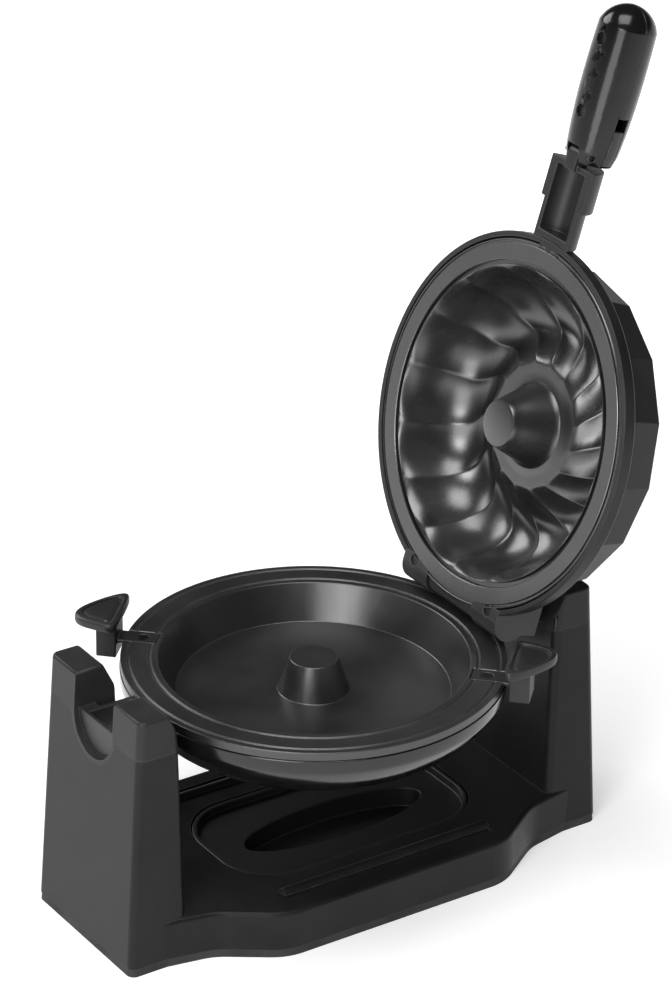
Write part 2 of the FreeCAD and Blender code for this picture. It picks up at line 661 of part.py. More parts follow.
# Ears: a flat bar across the flange, a post outside the rim and a leaf-shaped grip on top
POST_INNER, POST_OUTER, POST_HALF = 121.5, 134.0, 9.5
LEAF_THICK, LEAF_ROUND = 6.5, 3.0
LEAF_INNER, POST_DROP = 119.2, 9.0
leaf_low = dim.ear_top - LEAF_THICK
for end, angle in EARS:
    place = PAN.multiply(Placement(Vector(), Rotation(Vector(0, 0, 1), angle)))
    arm = fuse(end + "_arm",
               box(end + "_bar", (BAR_INNER, -BAR_HALF, bar_low), (POST_OUTER, BAR_HALF, bar_top)),
               box(end + "_post", (POST_INNER, -POST_HALF, bar_low - POST_DROP),
                   (POST_OUTER, POST_HALF, leaf_low)))
    head_room = rod(end + "_head_room", dim.screw_head + 0.1, (EAR_SCREW_REACH, 0.0, bar_top - 1.7), 5.0)
    thread_room = rod(end + "_thread_room", dim.screw_radius, (EAR_SCREW_REACH, 0.0, bar_low - 1.0), 5.0)
    piece(end + "_ear_arm", cut(end + "_arm_cut", arm, head_room, thread_room), place)
    leaf = padded(end + "_leaf", [
        (LEAF_INNER, -23.0),
        (LEAF_INNER + 3.8, -27.5),
        (dim.ear_reach - 10.5, -13.0),
        (dim.ear_reach - 0.5, 2.0),
        (dim.ear_reach, 10.0),
        (dim.ear_reach - 6.5, 16.5),
        (LEAF_INNER + 3.8, 21.0),
        (LEAF_INNER, 18.0),
    ], leaf_low, dim.ear_top)
    piece(end + "_ear_grip", round_edges(leaf, LEAF_ROUND, is_upright), place)

# Heating parts sealed between bowl and plate
ELEMENT_RADIUS, LOWER_ELEMENT, LID_ELEMENT = 3.2, 62.0, 46.0


def element(name, ring_radius, height):
    ring = doc.addObject("Part::Torus", name)
    ring.Radius1 = ring_radius
    ring.Radius2 = ELEMENT_RADIUS
    move(ring, 0.0, 0.0, height)
    return ring


under_dish = dish_floor - dim.skin
reflector_low = dim.bowl_bottom + dim.skin + 3.0
STUDS = [on_spoke(40.0, angle) for angle in (30, 150, 270)]
piece("lower_element", element("lower_ring", LOWER_ELEMENT, under_dish - ELEMENT_RADIUS - 0.2), PAN)
piece("lower_reflector", rod("lower_sheet", 68.0, (0.0, 0.0, reflector_low), 0.8), PAN)
piece("thermostat", rod("thermostat_can", 8.0, (0.0, 28.0, reflector_low + 1.0), 9.0), PAN)
piece("plate_screws", group("plate_studs", [
    rod("plate_stud_%d" % i, dim.screw_radius, (x, y, reflector_low + 0.9), under_dish - reflector_low - 1.0)
    for i, (x, y) in enumerate(STUDS)]), PAN)

# Front half journal on the pan, a half tube with an end wall, and the cast hinge hub behind it
JOURNAL_STEP, JOURNAL_END, LOWER_JOURNAL_END = -149.0, -175.3, -160.5
TUBE_WALL = 3.4
TUBE_PLUG = -130.0
pan_room = rod("pan_room", dim.pan_radius + 0.02, (dim.pan_x, 0.0, 90.0), dim.pan_top + 0.8 - 90.0)


def half_tube(name, end, wall_end, low, high):
    """Stepped half tube along X between two heights; wall_end is where its hollow stops."""
    outside = fuse(name + "_outside",
                   rod(name + "_neck", dim.neck_radius, (JOURNAL_STEP, 0.0, dim.axis_height), 35.0, "x"),
                   rod(name + "_collar", dim.journal_radius, (end, 0.0, dim.axis_height), JOURNAL_STEP - end,
                       "x"))
    inside = rod(name + "_inside", dim.neck_radius - TUBE_WALL, (wall_end, 0.0, dim.axis_height),
                 TUBE_PLUG - wall_end, "x")
    half = box(name + "_side", (-200.0, -40.0, low), (-100.0, 40.0, high))
    return common(name + "_half", cut(name + "_tube", outside, inside), half)


piece("front_journal", cut("front_journal_cut", half_tube(
    "lower_tube", LOWER_JOURNAL_END, LOWER_JOURNAL_END + 3.0, 100.0, dim.axis_height), pan_room))
HUB_WEB = ((107.0, -19.5, 121.0), (121.0, 19.5, 159.5))
hub = fuse("hub_solid",
           rod("hub_knuckle", dim.knuckle_radius, (dim.hinge_x, 0 - dim.knuckle_half, dim.hinge_z),
               dim.knuckle_half * 2, "y"),
           box("hub_web", *HUB_WEB),
           rod("hub_axle", dim.axle_radius, (119.0, 0.0, dim.axis_height), REAR_POCKET_END - 119.5, "x"))
piece("hinge_hub", cut("hub_cut", hub, pan_room,
                       rod("hub_bore", dim.hinge_pin_radius + dim.fit_gap, (dim.hinge_x, -60.0, dim.hinge_z),
                           120.0, "y")))

# Lid, modelled closed on the pan and then swung open about the hinge
LID_OPEN = Placement(Vector(), Rotation(Vector(0, 1, 0), float(dim.lid_open_angle)),
                     Vector(float(dim.hinge_x), 0, float(dim.hinge_z)))
rim = dim.lid_rim
FACET_FLAT = math.cos(math.pi / float(dim.flute_count))


def polygon(name, corner_radius, height):
    ring = doc.addObject("Part::RegularPolygon", name)
    bind(ring, "Polygon", dim.flute_count)
    bind(ring, "Circumradius", corner_radius)
    move(ring, dim.pan_x, 0.0, height)
    return ring


facets = doc.addObject("Part::Loft", "lid_facets")
facets.Sections = [
    polygon("facet_foot", dim.facet_radius + 0.5, rim + dim.facet_start - 5.0),
    polygon("facet_low", dim.facet_radius, rim + dim.facet_start),
    polygon("facet_high", dim.facet_end_radius, rim + dim.facet_end),
    polygon("facet_back", dim.lid_flat_radius, rim + dim.lid_height),
]
facets.Solid = True
facets.Ruled = True
lid_axis = (dim.pan_x, 0.0, rim)
lip = rod("lid_lip", dim.lid_radius, lid_axis, dim.lip_height)
shoulder = cone("lid_shoulder", dim.lid_radius, dim.facet_radius * FACET_FLAT,
                (dim.pan_x, 0.0, rim + dim.lip_height), dim.facet_start - dim.lip_height)
LID_WALL = 2.4
lid_hollow = turned("lid_hollow", [
    (0.0, rim - 1.0),
    (dim.mold_radius + 0.4, rim - 1.0),
    (dim.mold_radius + 0.4, rim + dim.mold_flange + 0.2),
    (dim.facet_radius * FACET_FLAT - LID_WALL, rim + dim.mold_flange + 0.2),
    (dim.facet_end_radius * FACET_FLAT - LID_WALL, rim + dim.facet_end - 1.0),
    (dim.lid_flat_radius * FACET_FLAT - LID_WALL, rim + dim.lid_height - LID_WALL),
    (0.0, rim + dim.lid_height - LID_WALL),
], dim.pan_x)

# Room for the hinge: a flat on the hinge side, and a round recess for the pan's knuckle
CHEEK_INNER_X, CHEEK_TOP = 95.0, 24.0
KNUCKLE_ROOM = 0.7
hinge_room = [
    box("cheek_room", (CHEEK_INNER_X, 0 - dim.cheek_outer - 0.3, rim - 2.0),
        (140.0, dim.cheek_outer + 0.3, rim + CHEEK_TOP)),
    rod("knuckle_room", dim.knuckle_radius + KNUCKLE_ROOM,
        (dim.hinge_x, -0.6 - dim.knuckle_half, dim.hinge_z), dim.knuckle_half * 2 + 1.2, "y"),
]
knuckle_wall = common("knuckle_wall",
                      rod("knuckle_boss", dim.knuckle_radius + KNUCKLE_ROOM + 1.2,
                          (dim.hinge_x, -2.0 - dim.knuckle_half, dim.hinge_z),
                          dim.knuckle_half * 2 + 4.0, "y"),
                      box("knuckle_boss_side", (80.0, -40.0, rim + dim.mold_flange + 0.2),
                          (CHEEK_INNER_X, 40.0, rim + CHEEK_TOP + 4.0)))
FOOT_REACH, FOOT_HALF = 104.0, 9.0
foot_room = box("foot_room", (dim.pan_x - dim.lid_radius - 2.0, -FOOT_HALF - 0.2, rim - 1.0),
                (dim.pan_x - FOOT_REACH, FOOT_HALF + 0.2, rim + dim.mold_flange + 0.1))
FOOT_SCREW_SPOTS = [(dim.pan_x - 109.5, y) for y in (-4.6, 4.6)]
foot_holes = [rod("foot_hole_%d" % i, dim.screw_radius, (x, y, rim), 7.0)
              for i, (x, y) in enumerate(FOOT_SCREW_SPOTS)]
lid_solid = cut("lid_shell", fuse("lid_solid", lip, shoulder, facets), lid_hollow)
piece("lid_housing", cut("lid_housing_cut", fuse("lid_with_wall", lid_solid, knuckle_wall),
                         *hinge_room, foot_room, *foot_holes), LID_OPEN)

# Mold: turned skin with a cavity of swirled flutes around a central post
mold_skin = turned("mold_skin", [
    (0.0, rim),
    (dim.mold_radius, rim),
    (dim.mold_radius, rim + dim.mold_flange),
    (dim.cavity_radius + 2.0, rim + dim.mold_flange),
    (dim.cavity_radius + 0.8, rim + 12.0),
    (92.0, rim + 22.0),
    (84.5, rim + 33.0),
    (75.0, rim + 42.0),
    (66.0, rim + dim.cavity_depth + 3.0),
    (58.0, rim + dim.cavity_depth + 3.0),
    (42.0, rim + dim.hump_depth + 3.0),
    (dim.post_base - 2.0, rim + dim.hump_depth + 3.0),
    (dim.post_top - 2.4, rim + 2.6),
    (0.0, rim + 2.6),
], dim.pan_x)

# Lobe radius of the flutes at each share of the cavity's depth
FLUTE_PROFILE = ((-0.03, 1.004), (0.0, 1.0), (0.23, 0.975), (0.46, 0.92), (0.7, 0.835),
                 (0.88, 0.735), (1.0, 0.63))
FLUTE_SWIRL = 6.0
FLUTE_DEPTH = 2.8


def fluted_ring(share_of_depth, lobe_share):
    """Closed ring of arcs that meet in cusps, turned further round the deeper it lies."""
    count = int(dim.flute_count)
    lobe = float(dim.cavity_radius) * lobe_share
    height = float(rim) + float(dim.cavity_depth) * share_of_depth
    twist = math.radians(FLUTE_SWIRL) * share_of_depth

    def point(radius, step):
        angle = math.tau * step / count + twist
        return Vector(radius * math.cos(angle) + float(dim.pan_x), radius * math.sin(angle), height)

    cusp = lobe - FLUTE_DEPTH
    arcs = [Part.Arc(point(cusp, k), point(lobe, k + 0.5), point(cusp, k + 1)) for k in range(count)]
    return Part.Wire([arc.toShape() for arc in arcs])


flutes = doc.addObject("Part::Feature", "flutes")
flutes.Shape = Part.makeLoft([fluted_ring(*level) for level in FLUTE_PROFILE], True, True)
HUMP_TOP, HUMP_FOOT = 40.0, 56.0
hump = cone("mold_hump", HUMP_TOP, HUMP_FOOT, (dim.pan_x, 0.0, rim + dim.hump_depth),
            dim.cavity_depth - dim.hump_depth + 1.0)
post = cone("mold_post", dim.post_top, dim.post_base, lid_axis, dim.hump_depth)
mold_cavity = cut("mold_cavity", flutes, hump, post)
piece("lid_mold", cut("mold_cut", mold_skin, mold_cavity, *hinge_room, foot_room), LID_OPEN)

# Heating parts and studs sealed in the lid
lid_ring = element("lid_ring", LID_ELEMENT, rim + dim.hump_depth + 11.4)
bind(lid_ring, "Placement.Base.x", dim.pan_x)
piece("lid_element", lid_ring, LID_OPEN)
piece("lid_reflector", rod("lid_sheet", 64.0, (dim.pan_x, 0.0, rim + 47.6), 0.8), LID_OPEN)
piece("mold_screws", group("mold_studs", [
    rod("mold_stud_%d" % i, dim.screw_radius, (dim.pan_x + x, y, rim + dim.hump_depth + 3.1), 16.0)
    for i, (x, y) in enumerate([on_spoke(35.0, angle) for angle in (0, 90, 180, 270)])]), LID_OPEN)

# Hinge cheeks on the lid, their screws, and the pin through cheeks and knuckle
CHEEK_ROUND = 12.5
PIN_COVER = 1.5
WEB_INNER, WEB_OUTER, WEB_LOW, WEB_TOP = 84.0, 111.0, 17.5, 33.8
CHEEK_SCREW_X, CHEEK_SCREW_Y = 99.5, 39.0
cheek_spots = [(CHEEK_SCREW_X, side * CHEEK_SCREW_Y) for side in (-1, 1)]
for side, name in ((-1, "near"), (1, "far")):
    ends = sorted((side * (float(dim.knuckle_half) + 1.0), side * float(dim.cheek_outer)))
    block = box(name + "_cheek_block", (CHEEK_INNER_X + 0.2, ends[0], rim + 0.2),
                (dim.hinge_x, ends[1], rim + 20.0))
    barrel = rod(name + "_cheek_barrel", CHEEK_ROUND, (dim.hinge_x, ends[0], dim.hinge_z),
                 ends[1] - ends[0], "y")
    beyond = box(name + "_cheek_side", (CHEEK_INNER_X + 0.2, -60.0, rim + 0.2), (130.0, 60.0, rim + 40.0))
    spot = cheek_spots[0] if side < 0 else cheek_spots[1]
    web_block = box(name + "_web_block", (WEB_INNER, ends[0], rim + WEB_LOW),
                    (WEB_OUTER, ends[1], rim + WEB_TOP))
    cheek = fuse(name + "_cheek_with_web",
                 common(name + "_cheek_solid", fuse(name + "_cheek_whole", block, barrel), beyond),
                 cut(name + "_web", web_block, facets, shoulder, knuckle_wall))
    piece(name + "_hinge_cheek", cut(
        name + "_cheek_cut", cheek,
        rod(name + "_pin_hole", dim.hinge_pin_radius, (dim.hinge_x, PIN_COVER - dim.cheek_outer, dim.hinge_z),
            (dim.cheek_outer - PIN_COVER) * 2, "y"),
        rod(name + "_recess", dim.screw_head + 0.1, (*spot, rim - 1.0), 4.6),
        rod(name + "_thread", dim.screw_radius, (*spot, rim - 1.0), 9.0)), LID_OPEN)
piece("hinge_screws", group("hinge_screw_group", [
    screw("hinge_screw_%d" % i, spot, rim + 1.2, 2.3, rim + 7.8)
    for i, spot in enumerate(cheek_spots)]), LID_OPEN)
piece("hinge_pin", rod("hinge_pin_rod", dim.hinge_pin_radius,
                       (dim.hinge_x, PIN_COVER - dim.cheek_outer, dim.hinge_z),
                       (dim.cheek_outer - PIN_COVER) * 2, "y"), LID_OPEN)

# Handle bracket: upper half journal, a foot screwed to the lid, and the lug of the fold
fold_x = dim.pan_x - dim.fold_reach
LUG_RADIUS, LUG_HALF = 4.6, 5.0
FOLD_PIN = 2.0
lid_room = rod("lid_room", dim.lid_radius + 0.02, (dim.pan_x, 0.0, rim - 1.0), 40.0)
upper_tube = half_tube("upper_tube", JOURNAL_END, JOURNAL_END + 4.0, rim, 200.0)
bracket_tube = cut("bracket_tube", upper_tube, lid_room)
foot = box("bracket_foot", (dim.pan_x - dim.lid_radius - 2.5, -FOOT_HALF, rim + 0.2),
           (dim.pan_x - FOOT_REACH - 0.3, FOOT_HALF, rim + dim.mold_flange - 0.1))
lug = fuse("lug", rod("lug_round", LUG_RADIUS, (fold_x, -LUG_HALF, dim.fold_height), LUG_HALF * 2, "y"),
           box("lug_block", (fold_x, -LUG_HALF, dim.fold_height - LUG_RADIUS),
               (JOURNAL_END + 4.0, LUG_HALF, dim.fold_height + LUG_RADIUS)))
FOOT_HEAD = 2.9
foot_heads = [rod("foot_head_%d" % i, FOOT_HEAD, (x, y, rim), 1.7)
              for i, (x, y) in enumerate(FOOT_SCREW_SPOTS)]
lug_hole = rod("lug_hole", FOLD_PIN + dim.fit_gap, (fold_x, -20.0, dim.fold_height), 40.0, "y")
bracket = fuse("bracket_solid", bracket_tube, foot, lug)
piece("handle_bracket", cut("bracket_cut", bracket, *foot_heads, *foot_holes, lug_hole), LID_OPEN)
piece("bracket_screws", group("bracket_screw_group", [
    fuse("bracket_screw_%d" % i, rod("bracket_head_%d" % i, FOOT_HEAD, (x, y, rim + 0.5), 1.2),
         rod("bracket_thread_%d" % i, dim.screw_radius, (x, y, rim + 1.0), 5.5))
    for i, (x, y) in enumerate(FOOT_SCREW_SPOTS)]), LID_OPEN)

# Grip in two halves around the fold pin, with the lock slider in its side
grip_length = dim.grip_end - dim.grip_start
grip_foot_x = dim.pan_x - dim.grip_start
TOWARDS_HANDLE = Rotation(Vector(0, 1, 0), -90)
GRIP_FOOT_BEVEL, GRIP_FOOT_RISE = 2.0, 7.0
grip_body = turned("grip_body", [
    (0.0, 0.0),
    (dim.grip_foot_radius - GRIP_FOOT_BEVEL, 0.0),
    (dim.grip_foot_radius, GRIP_FOOT_RISE),
    (dim.grip_radius, grip_length * 0.45, 400.0),
    (dim.grip_radius - 0.4, grip_length - 14.0, 700.0),
    (0.0, grip_length, dim.grip_radius + 0.6),
])
move(grip_body, grip_foot_x, 0.0, dim.grip_axis, TOWARDS_HANDLE)
GRIP_WALL, GRIP_SOLID_FOOT = 4.6, 24.0
GRIP_SOLID_END = 16.0
grip_hollow = rod("grip_hollow", dim.grip_radius - GRIP_WALL,
                  (dim.pan_x - dim.grip_end + GRIP_SOLID_END, 0.0, dim.grip_axis),
                  grip_length - GRIP_SOLID_FOOT - GRIP_SOLID_END, "x")
GRIP_SCREWS = [(dim.pan_x - reach, 0.0) for reach in (200.0, 245.0)]
lug_room = box("lug_room", (fold_x - LUG_RADIUS - 0.8, -LUG_HALF - 0.4, 120.0),
               (grip_foot_x + 5.0, LUG_HALF + 0.4, dim.fold_height + LUG_RADIUS + 0.7))
LOCK_TRAVEL, LOCK_LENGTH, LOCK_GAP = 6.0, 24.0, 0.4
LOCK_LOW, LOCK_HIGH, LOCK_DEEP = 156.2, 164.2, -9.5
lock_room = box("lock_room", (grip_foot_x - LOCK_LENGTH - LOCK_TRAVEL - 2.0, -30.0, LOCK_LOW - LOCK_GAP),
                (grip_foot_x - 0.8, LOCK_DEEP + LOCK_GAP, LOCK_HIGH + LOCK_GAP))
fold_hole = rod("fold_hole", FOLD_PIN, (fold_x, -30.0, dim.fold_height), 60.0, "y")
HEAD_SEAT, GRIP_STEM, BELOW_GRIP, ABOVE_GRIP = 144.2, 4.2, 100.0, 220.0
for name, low, high in (("lower", BELOW_GRIP, dim.grip_axis - 0.05),
                        ("upper", dim.grip_axis + 0.05, ABOVE_GRIP)):
    half = box(name + "_grip_side", (-300.0, -60.0, low), (-150.0, 60.0, high))
    shell = cut(name + "_grip_shell", common(name + "_grip_half", grip_body, half), grip_hollow)
    posts = [common("%s_grip_post_%d" % (name, i), grip_body, common(
        "%s_grip_stub_%d" % (name, i), half,
        rod("%s_grip_stem_%d" % (name, i), GRIP_STEM, (x, y, BELOW_GRIP), 90.0)))
        for i, (x, y) in enumerate(GRIP_SCREWS)]
    holes = []
    for i, (x, y) in enumerate(GRIP_SCREWS):
        holes.append(rod("%s_grip_hole_%d" % (name, i), dim.screw_radius, (x, y, BELOW_GRIP), 71.0))
        holes.append(rod("%s_grip_seat_%d" % (name, i), dim.screw_head + 0.1, (x, y, BELOW_GRIP),
                         HEAD_SEAT - BELOW_GRIP))
    whole = fuse(name + "_grip_whole", shell, *posts)
    piece("grip_" + name, cut(name + "_grip_cut", whole, lug_room, lock_room, fold_hole, *holes), LID_OPEN)
piece("grip_screws", group("grip_screw_group", [
    screw("grip_screw_%d" % i, spot, HEAD_SEAT - 2.0, 2.0, 169.0)
    for i, spot in enumerate(GRIP_SCREWS)]), LID_OPEN)
piece("fold_pin", rod("fold_pin_rod", FOLD_PIN, (fold_x, -11.0, dim.fold_height), 22.0, "y"), LID_OPEN)
lock_block = box("lock_block", (grip_foot_x - LOCK_LENGTH, -30.0, LOCK_LOW),
                 (grip_foot_x - 1.2, LOCK_DEEP, LOCK_HIGH))
piece("lock_slider", common("lock_shape", grip_body, lock_block), LID_OPEN)

# Every object has to be sound before anything is written
doc.recompute()
for thing in doc.Objects:
    faults = [state for state in thing.State if state in ("Invalid", "Error")]
    if faults:
        raise RuntimeError("%s failed: %s" % (thing.Label, faults))
for thing in pieces:
    if thing.Shape.isNull() or not thing.Shape.isValid():
        raise RuntimeError("%s has no sound shape" % thing.Label)

os.makedirs("parts", exist_ok=True)
for thing in pieces:
    thing.Shape.exportStep("parts/%s.step" % thing.Label)
    print("%-18s solids %d volume %.0f" % (thing.Label, len(thing.Shape.Solids), thing.Shape.Volume))
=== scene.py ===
import math

import bmesh
import bpy
from mathutils import Matrix, Vector


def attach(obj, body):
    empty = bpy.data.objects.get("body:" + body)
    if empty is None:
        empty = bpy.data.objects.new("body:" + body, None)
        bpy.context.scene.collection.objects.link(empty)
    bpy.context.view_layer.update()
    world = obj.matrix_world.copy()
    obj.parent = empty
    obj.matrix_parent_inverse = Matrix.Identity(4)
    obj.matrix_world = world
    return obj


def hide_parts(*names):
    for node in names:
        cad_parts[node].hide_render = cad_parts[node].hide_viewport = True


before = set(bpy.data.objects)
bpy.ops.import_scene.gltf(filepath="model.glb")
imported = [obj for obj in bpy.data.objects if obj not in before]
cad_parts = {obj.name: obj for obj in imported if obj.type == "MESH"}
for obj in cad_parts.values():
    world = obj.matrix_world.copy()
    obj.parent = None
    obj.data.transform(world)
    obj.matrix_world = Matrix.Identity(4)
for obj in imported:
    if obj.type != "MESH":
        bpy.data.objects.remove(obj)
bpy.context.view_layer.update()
MM = 0.001


# The stand is one moulding: two tapered towers joined by a low deck with a waisted skirt.
# It is black plastic with a fine spark-eroded grain, and a screwed plate closes it below.
STAND_BLACK = (0.0115, 0.0105, 0.0112, 1)
STAND_PALE = (0.017, 0.0158, 0.0166, 1)
# The third stand colour is a painted highlight for rounded edges
STAND_EDGE_HIGHLIGHT = (0.150, 0.143, 0.148, 1)
WELD = 0.000002
FLAT_ANGLE = math.radians(0.6)
CREASE_ANGLE = math.radians(38)
UNDER_GREY = (0.03, 0.03, 0.03, 1)
RUBBER_BLACK = (0.02, 0.02, 0.02, 1)
RUBBER_PALE = (0.035, 0.034, 0.033, 1)
GRAIN_DETAIL, MOTTLE_DETAIL, HIGHLIGHT_DETAIL = 3, 4, 3
HIGHLIGHT_SAMPLES = 4
HIGHLIGHT_PATCHES = 90
BUMP_STRENGTH = 0.6
ROUGHNESS_SWING = 0.05
EASE_STEPS = 3
LARGE_FACES_LEAD = 100


def shader_group(name, inputs, outputs):
    tree = bpy.data.node_groups.new(name, "ShaderNodeTree")
    for label, value in inputs.items():
        socket = tree.interface.new_socket(label, in_out="INPUT", socket_type="NodeSocketFloat")
        socket.default_value = value
    for label in outputs:
        tree.interface.new_socket(label, in_out="OUTPUT", socket_type="NodeSocketFloat")
    return tree, tree.nodes.new("NodeGroupInput"), tree.nodes.new("NodeGroupOutput")


def noise_node(tree, place, detail):
    noise = tree.nodes.new("ShaderNodeTexNoise")
    noise.inputs["Detail"].default_value = detail
    tree.links.new(place.outputs["Object"], noise.inputs["Vector"])
    return noise


def math_node(tree, operation, first, second):
    node = tree.nodes.new("ShaderNodeMath")
    node.operation = operation
    node.use_clamp = True
    for socket, value in zip(node.inputs, (first, second)):
        if isinstance(value, (int, float)):
            socket.default_value = value
        else:
            tree.links.new(value, socket)
    return node.outputs[0]


def make_grain_group():
    tree, given, result = shader_group(
        "moulded_grain", {"Grain Scale": 1500, "Mottle Scale": 40}, ("Grain", "Mottle"))
    place = tree.nodes.new("ShaderNodeTexCoord")
    grain = noise_node(tree, place, GRAIN_DETAIL)
    tree.links.new(given.outputs["Grain Scale"], grain.inputs["Scale"])
    mottle = noise_node(tree, place, MOTTLE_DETAIL)
    tree.links.new(given.outputs["Mottle Scale"], mottle.inputs["Scale"])
    tree.links.new(grain.outputs["Fac"], result.inputs["Grain"])
    tree.links.new(mottle.outputs["Fac"], result.inputs["Mottle"])
    return tree


# Rounded edges, found from the bevel normal, are painted a lighter colour in broken patches: a painted
# highlight along the edges
def make_edge_highlight_group():
    tree, given, result = shader_group("painted_edge_highlights", {"Spread": 0.0012, "Strength": 3}, ("Edge",))
    rounded = tree.nodes.new("ShaderNodeBevel")
    rounded.samples = HIGHLIGHT_SAMPLES
    tree.links.new(given.outputs["Spread"], rounded.inputs["Radius"])
    surface = tree.nodes.new("ShaderNodeNewGeometry")
    facing = tree.nodes.new("ShaderNodeVectorMath")
    facing.operation = "DOT_PRODUCT"
    tree.links.new(rounded.outputs["Normal"], facing.inputs[0])
    tree.links.new(surface.outputs["Normal"], facing.inputs[1])
    turned = math_node(tree, "SUBTRACT", 1.0, facing.outputs["Value"])
    highlighted = math_node(tree, "MULTIPLY", turned, given.outputs["Strength"])
    patches = noise_node(tree, tree.nodes.new("ShaderNodeTexCoord"), HIGHLIGHT_DETAIL)
    patches.inputs["Scale"].default_value = HIGHLIGHT_PATCHES
    tree.links.new(math_node(tree, "MULTIPLY", highlighted, patches.outputs["Fac"]), result.inputs["Edge"])
    return tree


moulded_grain = make_grain_group()
painted_edge_highlights = make_edge_highlight_group()


def group_node(tree, group, **values):
    node = tree.nodes.new("ShaderNodeGroup")
    node.node_tree = group
    for label, value in values.items():
        node.inputs[label.replace("_", " ")].default_value = value
    return node


def mix_colours(tree, amount, low, high):
    mix = tree.nodes.new("ShaderNodeMix")
    mix.data_type = "RGBA"
    tree.links.new(amount, mix.inputs["Factor"])
    for socket, value in ((mix.inputs[6], low), (mix.inputs[7], high)):
        if isinstance(value, tuple):
            socket.default_value = value
        else:
            tree.links.new(value, socket)
    return mix.outputs[2]


def spread(tree, value, low, high, start=0.3, end=0.7):
    node = tree.nodes.new("ShaderNodeMapRange")
    node.inputs["From Min"].default_value = start
    node.inputs["From Max"].default_value = end
    node.inputs["To Min"].default_value = low
    node.inputs["To Max"].default_value = high
    tree.links.new(value, node.inputs["Value"])
    return node.outputs["Result"]


def moulded(name, dark, pale, highlight_colour, roughness, grain_scale, grain_depth, edge_highlight=3, mottle=40, **fixed):
    material = bpy.data.materials.new(name)
    material.use_nodes = True
    tree = material.node_tree
    shader = tree.nodes["Principled BSDF"]
    grain = group_node(tree, moulded_grain, Grain_Scale=grain_scale, Mottle_Scale=mottle)
    edges = group_node(tree, painted_edge_highlights, Strength=edge_highlight)
    patchy = spread(tree, grain.outputs["Mottle"], 0, 1)
    body = mix_colours(tree, patchy, dark, pale)
    # The third colour is mixed in on rounded edges as a painted highlight
    tree.links.new(mix_colours(tree, edges.outputs["Edge"], body, highlight_colour), shader.inputs["Base Color"])
    rough = spread(tree, grain.outputs["Mottle"], roughness - ROUGHNESS_SWING, roughness + ROUGHNESS_SWING)
    tree.links.new(rough, shader.inputs["Roughness"])
    bump = tree.nodes.new("ShaderNodeBump")
    bump.inputs["Strength"].default_value = BUMP_STRENGTH
    bump.inputs["Distance"].default_value = grain_depth
    tree.links.new(grain.outputs["Grain"], bump.inputs["Height"])
    tree.links.new(bump.outputs["Normal"], shader.inputs["Normal"])
    for label, value in fixed.items():
        shader.inputs[label.replace("_", " ")].default_value = value
    return material


def dress(material, *nodes):
    for node in nodes:
        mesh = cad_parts[node].data
        mesh.materials.clear()
        mesh.materials.append(material)


def settle(thing):
    settled = bpy.context.evaluated_depsgraph_get()
    mesh = bpy.data.meshes.new_from_object(thing.evaluated_get(settled))
    thing.modifiers.clear()
    thing.data = mesh
    return mesh


def add_cuts(thing, cutters, solver):
    for cutter in cutters:
        tool = thing.modifiers.new("cut", "BOOLEAN")
        tool.operation = "DIFFERENCE"
        tool.solver = solver
        tool.object = cutter


def clear_away(things):
    for thing in things:
        bpy.data.objects.remove(thing)


# A copy of a solid with its folded edges rounded, from a height up where one is given
def eased(node, body, width, material, cutters=(), sharp=30.0, above=-1.0):
    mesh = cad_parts[node].data.copy()
    work = bmesh.new()
    work.from_mesh(mesh)
    bmesh.ops.remove_doubles(work, verts=work.verts, dist=WELD)
    bmesh.ops.dissolve_limit(work, angle_limit=FLAT_ANGLE, verts=work.verts, edges=work.edges)
    weight = work.edges.layers.float.new("bevel_weight_edge")
    for edge in work.edges:
        folded = edge.is_manifold and edge.calc_face_angle() > math.radians(sharp)
        edge[weight] = float(folded and min(vertex.co.z for vertex in edge.verts) > above)
    work.to_mesh(mesh)
    work.free()
    mesh.materials.clear()
    mesh.materials.append(material)
    mesh.shade_smooth()
    piece = bpy.data.objects.new(node + "_eased", mesh)
    bpy.context.scene.collection.objects.link(piece)
    add_cuts(piece, cutters, "MANIFOLD")
    edges = piece.modifiers.new("edges", "BEVEL")
    edges.width = width
    edges.segments = EASE_STEPS
    edges.limit_method = "WEIGHT"
    edges.use_clamp_overlap = False
    settle(piece).set_sharp_from_angle(angle=CREASE_ANGLE)
    shading = piece.modifiers.new("shading", "WEIGHTED_NORMAL")
    shading.keep_sharp = True
    shading.weight = LARGE_FACES_LEAD
    settle(piece)
    clear_away(cutters)
    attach(piece, body)
    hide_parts(node)


stand_grain = moulded("stand_grain", STAND_BLACK, STAND_PALE, STAND_EDGE_HIGHLIGHT, roughness=0.37,
                      grain_scale=1500, grain_depth=0.00010, Specular_IOR_Level=0.2)
under_grain = moulded("under_grain", UNDER_GREY, STAND_BLACK, STAND_PALE, roughness=0.65,
                      grain_scale=900, grain_depth=0.0001)
foot_rubber = moulded("foot_rubber", RUBBER_BLACK, RUBBER_PALE, STAND_PALE, roughness=0.85,
                      grain_scale=500, grain_depth=0.0002)
dress(stand_grain, "base_housing")
dress(under_grain, "bottom_plate", "cord_grommet")
dress(foot_rubber, "rubber_feet")


# The screws inside the stand and under the plate and the mold are zinc-plated steel.
# The ones on the ears, the lid's lip and the grip are blacked, as both pins are.
SCREW_ZINC = (0.33, 0.33, 0.34, 1)
SCREW_DULL = (0.21, 0.21, 0.22, 1)
SCREW_BRIGHT = (0.52, 0.52, 0.53, 1)
PIN_STEEL = (0.035, 0.035, 0.036, 1)
PIN_BRIGHT = (0.07, 0.07, 0.072, 1)

